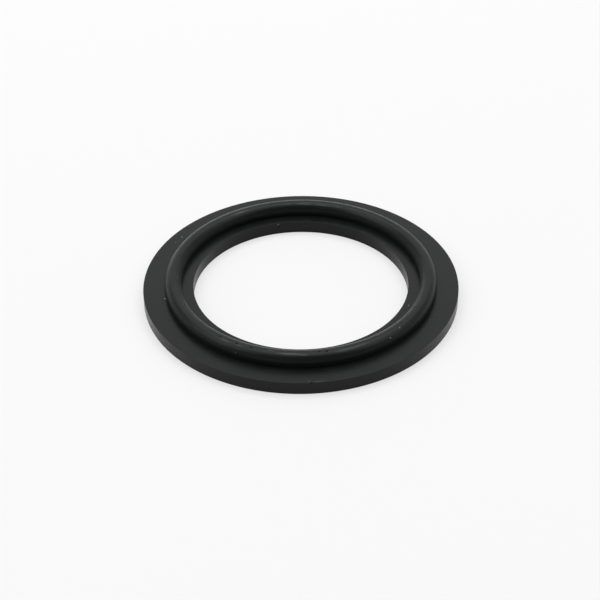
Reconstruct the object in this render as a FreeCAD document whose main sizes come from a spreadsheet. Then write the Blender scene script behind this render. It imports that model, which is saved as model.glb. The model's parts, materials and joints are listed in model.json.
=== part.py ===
import FreeCAD, Part
import math
import os
import Sketcher

# Heater gasket: a flat rubber washer with a sealing rib moulded round its upper face.
# It is one piece. The flat underside lies on z = 0, +Z is the ring's axis and points out
# of the ribbed face, and the origin is the centre of the underside.

# Sizes in millimetres: alias, value, what it measures
SIZES = [
    ("bore_diameter", 52.0, "hole for the water"),
    ("lip_width", 2.85, "flat land between the bore and the rib"),
    ("rib_width", 4.0, "rib over its sides, and the diameter of its full-round crown"),
    ("rib_side", 1.175, "straight part of the rib's sides, up to a height of 1/4 in over the crown"),
    ("flange_width", 5.25, "flat land between the rib and the rim, out to 3 in over the rim"),
    ("flange_thickness", 3.175, "washer under the rib, flange and lip alike, 1/8 in"),
    ("edge_radius", 0.1, "slight rounding of the bore's and the rim's upper edges"),
]

# Points of a sketch element, and the sketch's own origin and horizontal axis
START, END = 1, 2
ORIGIN = (-1, 1)
HORIZONTAL_AXIS = -1


def size_sheet(doc):
    """The spreadsheet of driving sizes, one alias to a row."""
    sheet = doc.addObject("Spreadsheet::Sheet", "Sizes")
    for row, (alias, value, meaning) in enumerate(SIZES, start=1):
        sheet.set(f"A{row}", meaning)
        sheet.set(f"B{row}", str(value))
        sheet.setAlias(f"B{row}", alias)
    doc.recompute()
    return sheet


def origin_plane(body, role):
    """One of the body's own origin planes."""
    return next(item for item in body.Origin.OriginFeatures if item.Role == role)


def add_lines(sketch, corners):
    """Straight lines from corner to corner, as their numbers in the sketch."""
    points = [FreeCAD.Vector(x, y, 0) for x, y in corners]
    return [sketch.addGeometry(Part.LineSegment(a, b)) for a, b in zip(points, points[1:])]


def add_dimension(sketch, name, formula, constraint):
    """A named dimension that takes its value from the sheet."""
    sketch.renameConstraint(sketch.addConstraint(constraint), name)
    sketch.setExpression(f"Constraints.{name}", formula)


def radii_and_heights(sheet):
    """Radii of the ring's walls and heights of its faces, worked out from the sheet."""
    bore = sheet.bore_diameter / 2
    rib_inner = bore + sheet.lip_width
    rib_outer = rib_inner + sheet.rib_width
    rim = rib_outer + sheet.flange_width
    face = sheet.flange_thickness
    springing = face + sheet.rib_side
    return bore, rib_inner, rib_outer, rim, face, springing


def half_section(body, sheet):
    """The ring's section on one side of the axis: x is the radius, y the height."""
    bore, rib_inner, rib_outer, rim, face, springing = radii_and_heights(sheet)
    sketch = body.newObject("Sketcher::SketchObject", "half_section")
    sketch.AttachmentSupport = (origin_plane(body, "XZ_Plane"), [""])
    sketch.MapMode = "FlatFace"

    # Underside, rim, flange face and the rib's outer side
    underside, rim_wall, flange_face, outer_side = add_lines(
        sketch, [(bore, 0), (rim, 0), (rim, face), (rib_outer, face), (rib_outer, springing)]
    )
    # Half circle over the rib
    middle = FreeCAD.Vector((rib_inner + rib_outer) / 2, springing, 0)
    circle = Part.Circle(middle, FreeCAD.Vector(0, 0, 1), sheet.rib_width / 2)
    crown = sketch.addGeometry(Part.ArcOfCircle(circle, 0, math.pi))
    # The rib's inner side, the lip's face and the bore
    inner_side, lip_face, bore_wall = add_lines(
        sketch, [(rib_inner, springing), (rib_inner, face), (bore, face), (bore, 0)]
    )

    # One closed outline, in which the crown runs smoothly into the rib's sides
    outline = [underside, rim_wall, flange_face, outer_side, crown, inner_side, lip_face, bore_wall]
    for before, after in zip(outline, outline[1:] + outline[:1]):
        joint = "Tangent" if crown in (before, after) else "Coincident"
        sketch.addConstraint(Sketcher.Constraint(joint, before, END, after, START))
    for line in (underside, flange_face, lip_face):
        sketch.addConstraint(Sketcher.Constraint("Horizontal", line))
    for line in (rim_wall, outer_side, inner_side, bore_wall):
        sketch.addConstraint(Sketcher.Constraint("Vertical", line))
    # The underside lies on z = 0, and the washer is as thick at the bore as at the rim
    sketch.addConstraint(Sketcher.Constraint("PointOnObject", underside, START, HORIZONTAL_AXIS))
    sketch.addConstraint(Sketcher.Constraint("Equal", rim_wall, bore_wall))

    add_dimension(
        sketch, "bore_radius", "Sizes.bore_diameter / 2",
        Sketcher.Constraint("DistanceX", *ORIGIN, underside, START, bore),
    )
    add_dimension(
        sketch, "lip_width", "Sizes.lip_width",
        Sketcher.Constraint("DistanceX", lip_face, END, lip_face, START, sheet.lip_width),
    )
    add_dimension(
        sketch, "crown_diameter", "Sizes.rib_width",
        Sketcher.Constraint("Diameter", crown, sheet.rib_width),
    )
    add_dimension(
        sketch, "rib_side", "Sizes.rib_side",
        Sketcher.Constraint("DistanceY", outer_side, START, outer_side, END, sheet.rib_side),
    )
    add_dimension(
        sketch, "flange_width", "Sizes.flange_width",
        Sketcher.Constraint("DistanceX", flange_face, END, flange_face, START, sheet.flange_width),
    )
    add_dimension(
        sketch, "flange_thickness", "Sizes.flange_thickness",
        Sketcher.Constraint("DistanceY", rim_wall, START, rim_wall, END, face),
    )
    return sketch


def circles_at(shape, places):
    """Names of the circular edges at the given pairs of radius and height."""
    same_place = FreeCAD.Base.Precision.confusion()
    names = []
    for number, edge in enumerate(shape.Edges, start=1):
        if edge.Curve.TypeId != "Part::GeomCircle":
            continue
        circle = (edge.Curve.Radius, edge.Curve.Center.z)
        if any(math.dist(circle, place) < same_place for place in places):
            names.append(f"Edge{number}")
    return names


def gasket(doc, sheet):
    """The whole gasket: the half section turned about Z, with its upper edges rounded."""
    body = doc.addObject("PartDesign::Body", "gasket")
    body.Label = "gasket"
    body.Placement = FreeCAD.Placement(FreeCAD.Vector(0, 0, 0), FreeCAD.Rotation())
    sketch = half_section(body, sheet)
    doc.recompute()
    if not sketch.FullyConstrained:
        raise RuntimeError("the half section isn't fully constrained")

    ring = body.newObject("PartDesign::Revolution", "ring")
    ring.Profile = sketch
    ring.ReferenceAxis = (sketch, ["V_Axis"])
    ring.Angle = 360
    sketch.Visibility = False
    doc.recompute()

    # The lower edges stay sharp: the mould parts there, and its flash is trimmed off
    bore, _, _, rim, face, _ = radii_and_heights(sheet)
    edges = body.newObject("PartDesign::Fillet", "upper_edges")
    edges.Base = (ring, circles_at(ring.Shape, [(bore, face), (rim, face)]))
    edges.setExpression("Radius", "Sizes.edge_radius")
    doc.recompute()
    return body


def check(doc, subparts):
    """Stops on a failed feature or an unusable shape, before anything is written."""
    for item in doc.Objects:
        if "Invalid" in item.State or "Error" in item.State:
            raise RuntimeError(f"{item.Name} failed: {item.State}")
    for subpart in subparts:
        if subpart.Shape.isNull() or not subpart.Shape.isValid():
            raise RuntimeError(f"{subpart.Label} has no valid shape")


document = FreeCAD.newDocument("heater_gasket")
subparts = [gasket(document, size_sheet(document))]
check(document, subparts)

os.makedirs("parts", exist_ok=True)
for subpart in subparts:
    subpart.Shape.exportStep(f"parts/{subpart.Label}.step")
    box = subpart.Shape.optimalBoundingBox(False, False)
    print(f"{subpart.Label}: {box.XLength:.3f} x {box.YLength:.3f} x {box.ZLength:.3f} mm, "
          f"{len(subpart.Shape.Solids)} solid, {subpart.Shape.Volume:.1f} mm3")
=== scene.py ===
import json
import math

import bmesh
import bpy
from bpy.props import FloatProperty, FloatVectorProperty, IntProperty, PointerProperty, StringProperty
from mathutils import Matrix, Vector


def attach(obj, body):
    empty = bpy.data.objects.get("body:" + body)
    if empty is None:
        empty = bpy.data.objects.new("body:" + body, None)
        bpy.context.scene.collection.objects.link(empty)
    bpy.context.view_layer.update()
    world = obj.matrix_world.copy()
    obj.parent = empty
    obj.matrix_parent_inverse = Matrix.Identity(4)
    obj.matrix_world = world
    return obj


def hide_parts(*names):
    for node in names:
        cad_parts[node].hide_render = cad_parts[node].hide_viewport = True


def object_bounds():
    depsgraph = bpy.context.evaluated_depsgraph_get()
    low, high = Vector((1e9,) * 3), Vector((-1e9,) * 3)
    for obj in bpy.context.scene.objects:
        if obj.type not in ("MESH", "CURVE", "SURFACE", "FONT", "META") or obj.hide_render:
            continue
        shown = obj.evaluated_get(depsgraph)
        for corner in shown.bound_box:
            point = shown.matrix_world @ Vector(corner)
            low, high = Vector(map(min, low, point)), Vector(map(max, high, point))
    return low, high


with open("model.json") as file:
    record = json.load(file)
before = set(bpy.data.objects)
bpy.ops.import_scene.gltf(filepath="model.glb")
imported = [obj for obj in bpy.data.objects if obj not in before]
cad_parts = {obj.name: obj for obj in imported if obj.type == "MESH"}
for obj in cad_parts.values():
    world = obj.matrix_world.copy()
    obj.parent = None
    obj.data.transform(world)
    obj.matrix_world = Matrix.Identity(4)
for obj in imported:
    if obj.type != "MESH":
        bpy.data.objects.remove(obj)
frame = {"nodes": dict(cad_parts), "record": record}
CAD_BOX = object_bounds()

bl_info = {
    "name": "Heater gasket",
    "version": (1, 0, 0),
    "blender": (4, 5, 0),
    "location": "View3D > Sidebar > Gasket",
    "description": "A moulded rubber heater gasket on a pale studio floor",
    "category": "Add Mesh",
}

MM = 0.001
NODE = "gasket"


# Sizes read from the frame

def mount(name):
    """One of the record's mounts."""
    return next(m for m in frame["record"]["mounts"] if m["name"] == name)


def radius_of(point):
    """Distance of a point from the ring's axis."""
    return math.hypot(point[0], point[1])


def rib_radii(washer_height):
    """Inner and outer radius of the rib, measured on the frame a little above the washer."""
    just_above = washer_height + 0.1 * MM
    rib = [radius_of(v.co) for v in frame["nodes"][NODE].data.vertices if v.co.z > just_above]
    return min(rib), max(rib)


WASHER_HEIGHT = mount("flange_face")["pos_m"][2]
RIB_INNER, RIB_OUTER = rib_radii(WASHER_HEIGHT)
CROWN_RADIUS = (RIB_INNER + RIB_OUTER) / 2

# Patterns of the skin. On the real mould the grain is about a tenth of a millimetre wide, and
# the lathe's rings are about a fifth of one apart. Both are drawn coarser, to show
GRAIN_WIDTH = 0.3 * MM
GRAIN_DEPTH = 0.004 * MM
LATHE_PITCH = 0.5 * MM
LATHE_LENGTH = 9 * MM
LATHE_DEPTH = 0.010 * MM
PIT_DEPTH = 0.08 * MM
MOTTLE_WIDTH = 4 * MM


# Settings

class GasketSizes(bpy.types.PropertyGroup):
    """Sizes of the ring. Those that the frame states start from it."""

    rim_radius: FloatProperty(
        name="Rim radius", description="From the axis to the rim",
        default=mount("rim")["dims"]["r_mm"] * MM, precision=5, unit="LENGTH")
    bore_radius: FloatProperty(
        name="Bore radius", description="From the axis to the bore's wall",
        default=mount("bore")["dims"]["r_mm"] * MM, precision=5, unit="LENGTH")
    washer_height: FloatProperty(
        name="Washer height", description="Thickness of the washer under the rib",
        default=WASHER_HEIGHT, precision=5, unit="LENGTH")
    rib_inner: FloatProperty(
        name="Rib inner radius", description="From the axis to the rib's inner side",
        default=RIB_INNER, precision=5, unit="LENGTH")
    rib_outer: FloatProperty(
        name="Rib outer radius", description="From the axis to the rib's outer side",
        default=RIB_OUTER, precision=5, unit="LENGTH")
    crown_height: FloatProperty(
        name="Crown height", description="From the underside to the top of the rib",
        default=CAD_BOX[1].z, precision=5, unit="LENGTH")
    rim_edge_radius: FloatProperty(
        name="Rim's edge", description="Rounding of the rim's upper edge",
        default=0.05 * MM, precision=5, unit="LENGTH")
    bore_edge_radius: FloatProperty(
        name="Bore's edge", description="Rounding of the bore's upper edge",
        default=0.02 * MM, precision=5, unit="LENGTH")
    lower_edge_radius: FloatProperty(
        name="Lower edges", description="Trimmed edges round the underside",
        default=0.05 * MM, precision=5, unit="LENGTH")
    steps: IntProperty(
        name="Steps round", description="Copies of the section in a full turn",
        default=432, min=24, max=720)


class GasketFinish(bpy.types.PropertyGroup):
    """Colours and gloss of the rubber."""

    rubber_hex: StringProperty(
        name="Rubber", description="Colour of the black rubber, sRGB hex", default="0F1211")
    # The scuffs' lighter colour is partly wear and partly a painted highlight along the crown
    scuff_highlight_hex: StringProperty(
        name="Scuffs", description="Colour of the rubbed streaks, sRGB hex", default="454746")
    dust_hex: StringProperty(
        name="Dust", description="Colour of the specks of dust, sRGB hex", default="767872")
    # The pits' colour is darker than the rubber's as painted shade inside them
    pit_shade_hex: StringProperty(
        name="Pits", description="Colour of the small pits, sRGB hex", default="050606")
    # The walls' colour is darker than the rubber's as painted shade
    wall_shade_hex: StringProperty(
        name="Walls", description="Colour of the bore's wall and the rim's, sRGB hex",
        default="040504")
    roughness: FloatProperty(
        name="Roughness", description="Roughness of the flange and the lip",
        default=0.3, min=0, max=1, subtype="FACTOR")
    wall_roughness: FloatProperty(
        name="Wall roughness", description="Roughness of the bore's wall and the rim's",
        default=0.32, min=0, max=1, subtype="FACTOR")
    side_roughness: FloatProperty(
        name="Side roughness", description="Roughness of the rib's sides, down in the corners",
        default=0.5, min=0, max=1, subtype="FACTOR")
    rib_roughness: FloatProperty(
        name="Crown roughness", description="Roughness of the rib's crown",
        default=0.36, min=0, max=1, subtype="FACTOR")
    pit_roughness: FloatProperty(
        name="Pit roughness", description="Roughness inside the small pits",
        default=1.0, min=0, max=1, subtype="FACTOR")
    roughness_spread: FloatProperty(
        name="Roughness spread", description="How much duller and glossier the patches are",
        default=0.04, min=0, max=0.2, subtype="FACTOR")
    specular: FloatProperty(
        name="Specular", description="Strength of the skin's gloss seen square on",
        default=0.21, min=0, max=1, subtype="FACTOR")


class StageLook(bpy.types.PropertyGroup):
    """Floor, lamps and camera."""

    floor_hex: StringProperty(
        name="Floor", description="Colour of the paper floor, sRGB hex", default="E8E8E8")
    glow_hex: StringProperty(
        name="Floor glow", description="White that the floor shows by itself", default="FBFBFB")
    glow_share: FloatProperty(
        name="Glow share", description="Share of that white in what the camera sees of the floor",
        default=0.58, min=0, max=1, subtype="FACTOR")
    lamp_distance: FloatProperty(
        name="Lamp distance", description="From the ring to the middle of each lamp",
        default=1.5, unit="LENGTH")
    room_light: FloatProperty(
        name="Room light", description="Radiance of the dim room behind the lamps",
        default=0.175, min=0)
    camera_distance: FloatProperty(
        name="Camera distance", description="From the camera to the ring's origin",
        default=384.4 * MM, unit="LENGTH")
    camera_elevation: FloatProperty(
        name="Camera elevation", description="Angle of the view above the floor",
        default=math.radians(36.69), subtype="ANGLE")
    camera_roll: FloatProperty(
        name="Camera roll", description="Turn of the camera about its line of sight",
        default=math.radians(-0.59), subtype="ANGLE")
    camera_aim: FloatVectorProperty(
        name="Camera aim", description="Point of the floor in the middle of the picture",
        default=(-0.24 * MM, -2.98 * MM, 0), size=3, precision=5, unit="LENGTH")
    lens: FloatProperty(
        name="Lens", description="Focal length on a 36 mm sensor, in millimetres",
        default=94.70, min=1)


# Helpers for colours, selections and nodes

def colour(hex_code):
    """Linear RGBA of an sRGB hex colour."""
    levels = [int(hex_code[i:i + 2], 16) / 255 for i in (0, 2, 4)]
    linear = [c / 12.92 if c <= 0.04045 else ((c + 0.055) / 1.055) ** 2.4 for c in levels]
    return (*linear, 1.0)


def select_vertices(piece, test):
    """In edit mode, selects the vertices whose place passes a test, and what they span."""
    mesh = bmesh.from_edit_mesh(piece.data)
    for vertex in mesh.verts:
        vertex.select = test(vertex.co)
    mesh.select_flush_mode()
    bmesh.update_edit_mesh(piece.data)


def select_edges(piece, test):
    """In edit mode, selects the edges that pass a test, and tells how many there are."""
    bpy.ops.mesh.select_all(action="DESELECT")
    mesh = bmesh.from_edit_mesh(piece.data)
    chosen = [edge for edge in mesh.edges if test(edge)]
    for edge in chosen:
        edge.select = True
    bmesh.update_edit_mesh(piece.data)
    return len(chosen)


def add_node(tree, kind, place, settings=None, inputs=None):
    """Adds a node with its options. An input is a value, or the output that feeds it."""
    node = tree.nodes.new(kind)
    node.location = place
    for name, value in (settings or {}).items():
        setattr(node, name, value)
    for socket, source in (inputs or {}).items():
        if isinstance(source, bpy.types.NodeSocket):
            tree.links.new(source, node.inputs[socket])
        else:
            node.inputs[socket].default_value = source
    return node


# The ring

SAME_PLACE = 0.001 * MM
LONGEST_EDGE = 0.6 * MM


def near(*corners):
    """A test for vertices at the given pairs of radius and height."""
    def test(place):
        return any(
            abs(place.x - radius) < SAME_PLACE and abs(place.z - height) < SAME_PLACE
            for radius, height in corners
        )
    return test


def round_corners(piece, *corners, radius, segments):
    """Rounds corners of the flat section."""
    select_vertices(piece, near(*corners))
    bpy.ops.mesh.bevel(
        affect="VERTICES", offset_type="OFFSET", offset=radius, segments=segments,
        profile=0.5, clamp_overlap=False)


class OBJECT_OT_gasket_ring(bpy.types.Operator):
    """Model the gasket: a washer's section with a round-topped rib, spun about the axis"""

    bl_idname = "object.gasket_ring"
    bl_label = "Gasket ring"
    bl_options = {"REGISTER", "UNDO"}

    def execute(self, context):
        s = context.scene.gasket_sizes
        context.tool_settings.mesh_select_mode = (True, False, False)
        bpy.ops.object.select_all(action="DESELECT")

        # The washer's section, upright on the positive side of the axis
        bpy.ops.mesh.primitive_plane_add(size=1, rotation=(math.pi / 2, 0, 0))
        ring = context.object
        ring.name = ring.data.name = "gasket_ring"
        bpy.ops.object.transform_apply(location=True, rotation=True, scale=True)
        bpy.ops.object.mode_set(mode="EDIT")
        bpy.ops.transform.resize(value=(s.rim_radius - s.bore_radius, 1, s.washer_height))
        bpy.ops.transform.translate(
            value=((s.rim_radius + s.bore_radius) / 2, 0, s.washer_height / 2))

        # The rib rises from the upper side between two cuts
        for radius in (s.rib_inner, s.rib_outer):
            bpy.ops.mesh.select_all(action="SELECT")
            bpy.ops.mesh.bisect(plane_co=(radius, 0, 0), plane_no=(1, 0, 0))
        feet = ((s.rib_inner, s.washer_height), (s.rib_outer, s.washer_height))
        select_vertices(ring, near(*feet))
        bpy.ops.mesh.extrude_region_move(
            TRANSFORM_OT_translate={"value": (0, 0, s.crown_height - s.washer_height)})
        bpy.ops.mesh.select_all(action="SELECT")
        bpy.ops.mesh.dissolve_limited(angle_limit=math.radians(1))

        # Full-round crown, then the smaller roundings
        crown = ((s.rib_inner, s.crown_height), (s.rib_outer, s.crown_height))
        rim_edge = (s.rim_radius, s.washer_height)
        bore_edge = (s.bore_radius, s.washer_height)
        lower_edges = ((s.bore_radius, 0), (s.rim_radius, 0))
        round_corners(ring, *crown, radius=(s.rib_outer - s.rib_inner) / 2, segments=14)
        round_corners(ring, rim_edge, radius=s.rim_edge_radius, segments=4)
        round_corners(ring, bore_edge, radius=s.bore_edge_radius, segments=3)
        round_corners(ring, *lower_edges, radius=s.lower_edge_radius, segments=2)

        # Only the outline is spun. Cuts close to the roundings keep the shading of the flat
        # faces flat right up to them, and the long straights are cut into short ones
        bpy.ops.mesh.select_all(action="SELECT")
        bpy.ops.mesh.delete(type="ONLY_FACE")
        bpy.ops.mesh.select_all(action="SELECT")
        bpy.ops.mesh.remove_doubles(threshold=SAME_PLACE)
        margin = 3 * s.rim_edge_radius
        cuts = (
            ((s.bore_radius + margin, 0, 0), (1, 0, 0)),
            ((s.rim_radius - margin, 0, 0), (1, 0, 0)),
            ((0, 0, margin), (0, 0, 1)),
            ((0, 0, s.washer_height - margin), (0, 0, 1)),
        )
        for place, normal in cuts:
            bpy.ops.mesh.select_all(action="SELECT")
            bpy.ops.mesh.bisect(plane_co=place, plane_no=normal)
        while select_edges(ring, lambda edge: edge.calc_length() > LONGEST_EDGE):
            bpy.ops.mesh.subdivide(number_cuts=1)
        bpy.ops.mesh.select_all(action="SELECT")
        bpy.ops.mesh.spin(steps=s.steps, angle=math.tau, center=(0, 0, 0), axis=(0, 0, 1))
        bpy.ops.mesh.select_all(action="SELECT")
        bpy.ops.mesh.remove_doubles(threshold=SAME_PLACE)
        bpy.ops.mesh.normals_make_consistent(inside=False)
        bpy.ops.object.mode_set(mode="OBJECT")
        bpy.ops.object.shade_smooth_by_angle(angle=math.radians(35))

        ring.data.materials.append(moulded_rubber(context.scene.gasket_finish))
        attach(ring, "root")
        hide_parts(NODE)
        return {"FINISHED"}


# Material

# Marks seen on the rubber: bearing from +X in degrees, radius, height and width in mm
LIGHT_SPECKS = (
    (102.45, 26.00, 2.82, 0.48),
    (146.55, 35.85, 3.17, 0.54),
    (150.90, 35.85, 3.17, 0.34),
    (182.60, 29.78, 6.04, 0.30),
    (190.70, 33.10, 3.17, 0.64),
    (242.85, 32.78, 4.86, 0.30),
    (272.55, 37.40, 3.17, 0.27),
    (308.95, 32.39, 5.63, 0.44),
    (315.65, 31.67, 6.17, 0.40),
    (339.05, 27.30, 3.17, 0.40),
)
# Small pits, whose darker colour is painted shade inside them
PITS = (
    (102.15, 26.00, 2.12, 0.46),
    (233.30, 31.02, 6.34, 0.58),
    (241.80, 31.20, 6.32, 0.62),
    (248.50, 31.20, 6.32, 0.60),
    (273.30, 38.05, 3.15, 0.60),
    (277.40, 31.00, 6.34, 0.60),
    (280.60, 31.20, 6.32, 0.62),
)
# Scuffs that run along the ring, on the crown and the rim's edge, whose lighter colour is partly
# wear and partly a painted highlight where the gloss breaks up: bearing in degrees, radius and width
# in mm
SCUFFS_AND_HIGHLIGHTS = (
    (72.0, 30.00, 0.50),
    (79.5, 29.98, 0.80),
    (87.5, 29.95, 0.80),
    (96.5, 29.95, 0.36),
    (120.5, 30.20, 0.74),
    (236.5, 31.53, 0.44),
    (243.5, 31.55, 0.30),
    (256.5, 31.05, 0.36),
    (265.0, 31.52, 0.82),
    (270.5, 31.75, 0.40),
    (276.0, 37.65, 0.40),
    (289.0, 31.62, 0.80),
    (295.5, 31.45, 0.56),
)
# How many times as long as wide a scuff or painted highlight streak is
SCUFF_HIGHLIGHT_STRETCH = 9
# Heights in mm over which the skin changes: at the washer's upper edges, at the foot of the
# rib, and from the rib's sides to its crown
HEIGHT_BANDS = ((3.13, 3.17), (3.20, 3.40), (4.90, 5.70))
# Sockets of the Mix node for colours: the share, the two colours and the result
MIX_SHARE, MIX_UNDER, MIX_OVER, MIX_RESULT = 0, 6, 7, 2


def on_ring(bearing, radius, height):
    """A point in metres from a bearing in degrees and a radius and height in mm."""
    angle = math.radians(bearing)
    return Vector((math.cos(angle) * radius, math.sin(angle) * radius, height)) * MM


def spots(tree, space, marks):
    """Mask of soft round spots, each given as its centre in a space and its width.

    A spot is full over the middle third of its width, and fades out to its rim.
    """
    mask = 0.0
    for row, (centre, width) in enumerate(marks):
        away = add_node(
            tree, "ShaderNodeVectorMath", (-1200, -200 * row), {"operation": "DISTANCE"},
            {0: space, 1: centre}).outputs["Value"]
        spot = add_node(
            tree, "ShaderNodeMapRange", (-1000, -200 * row), {"interpolation_type": "SMOOTHSTEP"},
            {
                "Value": away, "From Min": width / 6, "From Max": width / 2,
                "To Min": 1, "To Max": 0,
            })
        mask = add_node(
            tree, "ShaderNodeMath", (-800, -200 * row), {"operation": "MAXIMUM"},
            {0: mask, 1: spot.outputs["Result"]}).outputs[0]
    return mask


def moulded_rubber(finish):
    """EPDM rubber, compression moulded in a turned steel mould.

    The carbon black in it swallows nearly all the light, so that what shows is the soft gloss
    of its skin: satin on the flat faces, a little duller on the rubbed rib and dullest down its
    sides, with faint rings from the lathe that turned the mould.
    """
    material = bpy.data.materials.new("moulded_epdm_rubber")
    material.use_nodes = True
    tree = material.node_tree
    tree.nodes.clear()
    place = add_node(tree, "ShaderNodeTexCoord", (-2400, 0)).outputs["Object"]

    # The ring's own coordinates: the radius, the height, the bearing and the way out
    axes = add_node(
        tree, "ShaderNodeSeparateXYZ", (-2200, -200), inputs={"Vector": place}).outputs
    flat = add_node(
        tree, "ShaderNodeVectorMath", (-2200, 0), {"operation": "MULTIPLY"},
        {0: place, 1: (1, 1, 0)}).outputs["Vector"]
    radius = add_node(
        tree, "ShaderNodeVectorMath", (-2000, 0), {"operation": "LENGTH"},
        {0: flat}).outputs["Value"]
    outward = add_node(
        tree, "ShaderNodeVectorMath", (-2000, 200), {"operation": "SCALE"},
        {0: flat, "Scale": 1 / LATHE_LENGTH}).outputs["Vector"]
    bearing = add_node(
        tree, "ShaderNodeMath", (-2000, -200), {"operation": "ARCTAN2"},
        {0: axes["Y"], 1: axes["X"]}).outputs[0]

    # Rings that the lathe left in the mould: long along the ring, and narrow across it
    rings = add_node(
        tree, "ShaderNodeMath", (-1800, 0), {"operation": "DIVIDE"},
        {0: radius, 1: LATHE_PITCH}).outputs[0]
    rows = add_node(
        tree, "ShaderNodeMath", (-1800, -200), {"operation": "DIVIDE"},
        {0: axes["Z"], 1: LATHE_PITCH}).outputs[0]
    across = add_node(tree, "ShaderNodeCombineXYZ", (-1600, 0), inputs={"Z": rings})
    unrolled = add_node(
        tree, "ShaderNodeVectorMath", (-1400, 100), {"operation": "ADD"},
        {0: outward, 1: across.outputs["Vector"]})
    lathe_marks = add_node(
        tree, "ShaderNodeTexNoise", (-1200, 300), {"noise_dimensions": "4D"},
        {
            "Vector": unrolled.outputs["Vector"], "W": rows,
            "Scale": 1, "Detail": 2, "Roughness": 0.6,
        }).outputs["Fac"]

    # Patches of duller and brighter skin, and the fine grain of the mould
    mottle = add_node(
        tree, "ShaderNodeTexNoise", (-1200, 600), None,
        {"Vector": place, "Scale": 1 / MOTTLE_WIDTH, "Detail": 3}).outputs["Fac"]
    patches = add_node(
        tree, "ShaderNodeMapRange", (-1000, 600), None,
        {"Value": mottle, "From Min": 0.3, "From Max": 0.7}).outputs["Result"]
    grain = add_node(
        tree, "ShaderNodeTexNoise", (-1200, 900), None,
        {"Vector": place, "Scale": 1 / GRAIN_WIDTH, "Detail": 2}).outputs["Fac"]

    # Scuffs and painted highlight streaks are spots in coordinates that are squeezed along the
    # ring, broken up by the rings
    squeeze = CROWN_RADIUS / SCUFF_HIGHLIGHT_STRETCH
    along = add_node(
        tree, "ShaderNodeMath", (-1800, -400), {"operation": "MULTIPLY"},
        {0: bearing, 1: squeeze}).outputs[0]
    squeezed = add_node(
        tree, "ShaderNodeCombineXYZ", (-1600, -400), inputs={"X": along, "Y": radius})
    scuffs_and_highlights = spots(tree, squeezed.outputs["Vector"], [
        ((math.radians(math.remainder(angle, 360)) * squeeze, from_axis * MM, 0), width * MM)
        for angle, from_axis, width in SCUFFS_AND_HIGHLIGHTS
    ])
    streaks = add_node(
        tree, "ShaderNodeMapRange", (-900, 300), None,
        {"Value": lathe_marks, "From Min": 0.35, "From Max": 0.6}).outputs["Result"]
    # The scuffs' streaks, where the colour is lightened partly as a painted highlight
    worn_and_highlit = add_node(
        tree, "ShaderNodeMath", (-600, 300), {"operation": "MULTIPLY"},
        {0: scuffs_and_highlights, 1: streaks}).outputs[0]
    dust = spots(tree, place, [(on_ring(*spot), width * MM) for *spot, width in LIGHT_SPECKS])
    pits = spots(tree, place, [(on_ring(*spot), width * MM) for *spot, width in PITS])

    # Height bands: 1 above the washer's upper edges, above the rib's foot, and on the crown
    washer_top, foot, crown = (
        add_node(
            tree, "ShaderNodeMapRange", (-1000, -200 * row), None,
            {"Value": axes["Z"], "From Min": low * MM, "From Max": high * MM}).outputs["Result"]
        for row, (low, high) in enumerate(HEIGHT_BANDS)
    )

    # Colour: the black rubber, with painted shade on the walls, then the scuffs, partly painted
    # highlights, then the dust, then the pits darkened as painted shade
    skin = add_node(
        tree, "ShaderNodeMix", (-600, 300), {"data_type": "RGBA"},
        {
            MIX_SHARE: washer_top, MIX_UNDER: colour(finish.wall_shade_hex),
            MIX_OVER: colour(finish.rubber_hex),
        }).outputs[MIX_RESULT]
    over = ((worn_and_highlit, finish.scuff_highlight_hex), (dust, finish.dust_hex), (pits, finish.pit_shade_hex))
    for column, (share, hex_code) in enumerate(over):
        skin = add_node(
            tree, "ShaderNodeMix", (200 * column - 400, 300), {"data_type": "RGBA"},
            {MIX_SHARE: share, MIX_UNDER: skin, MIX_OVER: colour(hex_code)}).outputs[MIX_RESULT]

    # Roughness: by height from the walls over the flat faces and the rib's sides to its
    # crown, then by the patches and the pits
    dullness = finish.wall_roughness - finish.roughness_spread
    steps = (
        (washer_top, finish.roughness - finish.wall_roughness),
        (foot, finish.side_roughness - finish.roughness),
        (crown, finish.rib_roughness - finish.side_roughness),
        (patches, 2 * finish.roughness_spread),
        (pits, finish.pit_roughness - finish.rib_roughness),
    )
    for column, (share, rise) in enumerate(steps):
        dullness = add_node(
            tree, "ShaderNodeMath", (200 * column - 800, 0), {"operation": "MULTIPLY_ADD"},
            {0: share, 1: rise, 2: dullness}).outputs[0]

    # Relief in metres: the lathe's rings, the grain and the pits
    ridges = add_node(
        tree, "ShaderNodeMath", (-600, -200), {"operation": "MULTIPLY"},
        {0: lathe_marks, 1: LATHE_DEPTH}).outputs[0]
    relief = add_node(
        tree, "ShaderNodeMath", (-400, -200), {"operation": "MULTIPLY_ADD"},
        {0: grain, 1: GRAIN_DEPTH, 2: ridges}).outputs[0]
    relief = add_node(
        tree, "ShaderNodeMath", (-200, -200), {"operation": "MULTIPLY_ADD"},
        {0: pits, 1: -PIT_DEPTH, 2: relief}).outputs[0]
    bump = add_node(
        tree, "ShaderNodeBump", (0, -200), None,
        {"Strength": 1, "Distance": 1, "Height": relief}).outputs["Normal"]

    shader = add_node(
        tree, "ShaderNodeBsdfPrincipled", (400, 0), None,
        {
            "Base Color": skin, "Roughness": dullness, "Normal": bump,
            "IOR": 1.5, "Specular IOR Level": finish.specular,
        }).outputs["BSDF"]
    add_node(tree, "ShaderNodeOutputMaterial", (700, 0), inputs={"Surface": shader})
    return material


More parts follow.
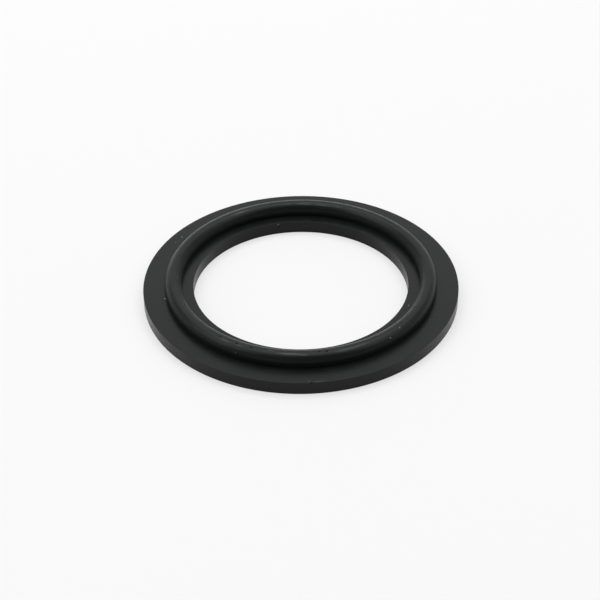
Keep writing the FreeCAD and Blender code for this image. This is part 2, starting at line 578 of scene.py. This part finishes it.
def paper_floor(look):
    """Matt white photographic paper, lit so that it comes out nearly white.

    The camera and the gloss of the rubber see part of it as plain white, so that it is even
    all round, and the rest as lit paper, which keeps the ring's shadow.
    """
    material = bpy.data.materials.new("matt_white_paper")
    material.use_nodes = True
    tree = material.node_tree
    tree.nodes.clear()
    paper = add_node(tree, "ShaderNodeBsdfDiffuse", (0, 0), None, {"Color": colour(look.floor_hex)})
    white = add_node(
        tree, "ShaderNodeEmission", (0, -200), None,
        {"Color": colour(look.glow_hex), "Strength": 1})
    rays = add_node(tree, "ShaderNodeLightPath", (-600, 300)).outputs
    seen = 0.0
    for column, ray in enumerate(("Is Camera Ray", "Is Glossy Ray", "Is Transmission Ray")):
        seen = add_node(
            tree, "ShaderNodeMath", (200 * column - 400, 200), {"operation": "MAXIMUM"},
            {0: seen, 1: rays[ray]}).outputs[0]
    share = add_node(
        tree, "ShaderNodeMath", (200, 200), {"operation": "MULTIPLY"},
        {0: seen, 1: look.glow_share}).outputs[0]
    mixed = add_node(
        tree, "ShaderNodeMixShader", (400, 0), None,
        {0: share, 1: paper.outputs["BSDF"], 2: white.outputs["Emission"]})
    add_node(tree, "ShaderNodeOutputMaterial", (600, 0), inputs={"Surface": mixed.outputs["Shader"]})
    return material


# Stage

# Width of the paper floor in metres
FLOOR_WIDTH = 6

# Soft lamp that looks down from the ceiling: width and depth in metres, place behind the ring,
# height as a share of the lamps' distance, and radiance
CEILING_LAMPS = {"ceiling_softbox": (2.0, 1.3, 0.25, 1.0, 2.05)}
# Lamps and lit walls round the ring, which they face: azimuth from the back, clockwise from
# above, and elevation, then the width and height that each spans, in degrees, and its radiance
WALL_LAMPS = {
    "left_softbox_low": (-100, 28.5, 40, 17, 1.60),
    "left_softbox_high": (-100, 47, 40, 18, 2.16),
    "right_softbox_low": (100, 28.5, 40, 17, 0.62),
    "right_softbox_high": (100, 47, 40, 18, 1.39),
    "back_wall_top": (0, 61, 60, 11, 1.82),
    "back_wall_high": (0, 50, 60, 11, 0.80),
    "back_wall_upper": (0, 39, 60, 11, 0.84),
    "back_wall_middle": (0, 28, 60, 11, 1.05),
    "back_wall_low": (-10, 6, 40, 11, 2.15),
    "back_wall_low_dim": (20, 6, 20, 11, 0.95),
    "back_wall_low_left": (-52, 11, 44, 22, 0.70),
    "back_wall_low_right": (52, 11, 44, 22, 0.65),
    "right_back_wall": (55, 38, 50, 34, 0.16),
    "left_wall_low": (-95, 9, 42, 17, 0.08),
    "right_wall_low": (95, 9, 42, 17, 0.48),
    "front_left_wall": (-145, 32, 40, 36, 0.07),
}


def add_lamp(name, size, location, rotation, radiance):
    """A soft rectangular lamp with the same radiance all over its face."""
    bpy.ops.object.select_all(action="DESELECT")
    bpy.ops.object.light_add(type="AREA", location=location, rotation=rotation)
    lamp = bpy.context.object
    lamp.name = lamp.data.name = name
    lamp.data.shape = "RECTANGLE"
    lamp.data.size, lamp.data.size_y = size
    lamp.data.energy = radiance * math.pi * size[0] * size[1]
    lamp.visible_camera = False
    return lamp


def add_wall_lamp(name, azimuth, elevation, wide, high, distance, radiance):
    """A lamp that faces the ring and spans the given angles, as seen from it."""
    turn, rise = math.radians(azimuth), math.radians(elevation)
    towards = Vector((
        math.cos(rise) * math.sin(turn), math.cos(rise) * math.cos(turn), math.sin(rise)))
    size = [2 * distance * math.tan(math.radians(angle) / 2) for angle in (wide, high)]
    facing = (-towards).to_track_quat("-Z", "Y").to_euler()
    return add_lamp(name, size, towards * distance, facing, radiance)


class OBJECT_OT_gasket_stage(bpy.types.Operator):
    """Set up the pale floor, the soft lamps and the camera"""

    bl_idname = "object.gasket_stage"
    bl_label = "Studio stage"
    bl_options = {"REGISTER", "UNDO"}

    def execute(self, context):
        look = context.scene.stage_look
        scene = context.scene
        bpy.ops.object.select_all(action="DESELECT")
        bpy.ops.mesh.primitive_plane_add(size=FLOOR_WIDTH)
        floor = context.object
        floor.name = floor.data.name = "studio_floor"
        floor.data.materials.append(paper_floor(look))

        for name, (width, depth, behind, height, radiance) in CEILING_LAMPS.items():
            place = (0, behind, height * look.lamp_distance)
            add_lamp(name, (width, depth), place, (0, 0, 0), radiance)
        for name, (azimuth, elevation, wide, high, radiance) in WALL_LAMPS.items():
            add_wall_lamp(name, azimuth, elevation, wide, high, look.lamp_distance, radiance)

        world = bpy.data.worlds.new("studio_room")
        world.use_nodes = True
        tree = world.node_tree
        tree.nodes.clear()
        room = add_node(
            tree, "ShaderNodeBackground", (0, 0), None,
            {"Color": (1, 1, 1, 1), "Strength": look.room_light})
        add_node(
            tree, "ShaderNodeOutputWorld", (300, 0), inputs={"Surface": room.outputs["Background"]})
        scene.world = world

        bpy.ops.object.select_all(action="DESELECT")
        bpy.ops.object.camera_add()
        camera = context.object
        camera.name = camera.data.name = "studio_camera"
        rise = look.camera_elevation
        place = Vector((0, -math.cos(rise), math.sin(rise))) * look.camera_distance
        aim = (Vector(look.camera_aim) - place).to_track_quat("-Z", "Y")
        turn = Matrix.Rotation(look.camera_roll, 4, "Z")
        camera.matrix_world = Matrix.Translation(place) @ aim.to_matrix().to_4x4() @ turn
        camera.data.lens = look.lens
        camera.data.sensor_width = 36
        camera.data.clip_start = 0.01
        scene.camera = camera
        scene.view_settings.view_transform = "Standard"
        return {"FINISHED"}


# Sidebar and registration

class VIEW3D_PT_gasket(bpy.types.Panel):
    """The gasket's operators and settings"""

    bl_label = "Heater gasket"
    bl_idname = "VIEW3D_PT_gasket"
    bl_space_type = "VIEW_3D"
    bl_region_type = "UI"
    bl_category = "Gasket"

    def draw(self, context):
        for operator in OPERATORS:
            self.layout.operator(operator.bl_idname)
        for group in GROUPS:
            box = self.layout.box()
            box.label(text=group.replace("_", " ").capitalize())
            settings = getattr(context.scene, group)
            for name in settings.bl_rna.properties.keys():
                if name not in ("rna_type", "name"):
                    box.prop(settings, name)


GROUPS = {"gasket_sizes": GasketSizes, "gasket_finish": GasketFinish, "stage_look": StageLook}
OPERATORS = (OBJECT_OT_gasket_ring, OBJECT_OT_gasket_stage)


def register():
    """Registers the settings, the operators and the panel."""
    for name, group in GROUPS.items():
        bpy.utils.register_class(group)
        setattr(bpy.types.Scene, name, PointerProperty(type=group))
    for kind in (*OPERATORS, VIEW3D_PT_gasket):
        bpy.utils.register_class(kind)


def unregister():
    """Takes them away again."""
    for kind in (VIEW3D_PT_gasket, *reversed(OPERATORS)):
        bpy.utils.unregister_class(kind)
    for name, group in GROUPS.items():
        delattr(bpy.types.Scene, name)
        bpy.utils.unregister_class(group)


def main():
    """Builds the gasket and its stage."""
    register()
    bpy.ops.object.gasket_ring()
    bpy.ops.object.gasket_stage()


if __name__ == "__main__":
    main()
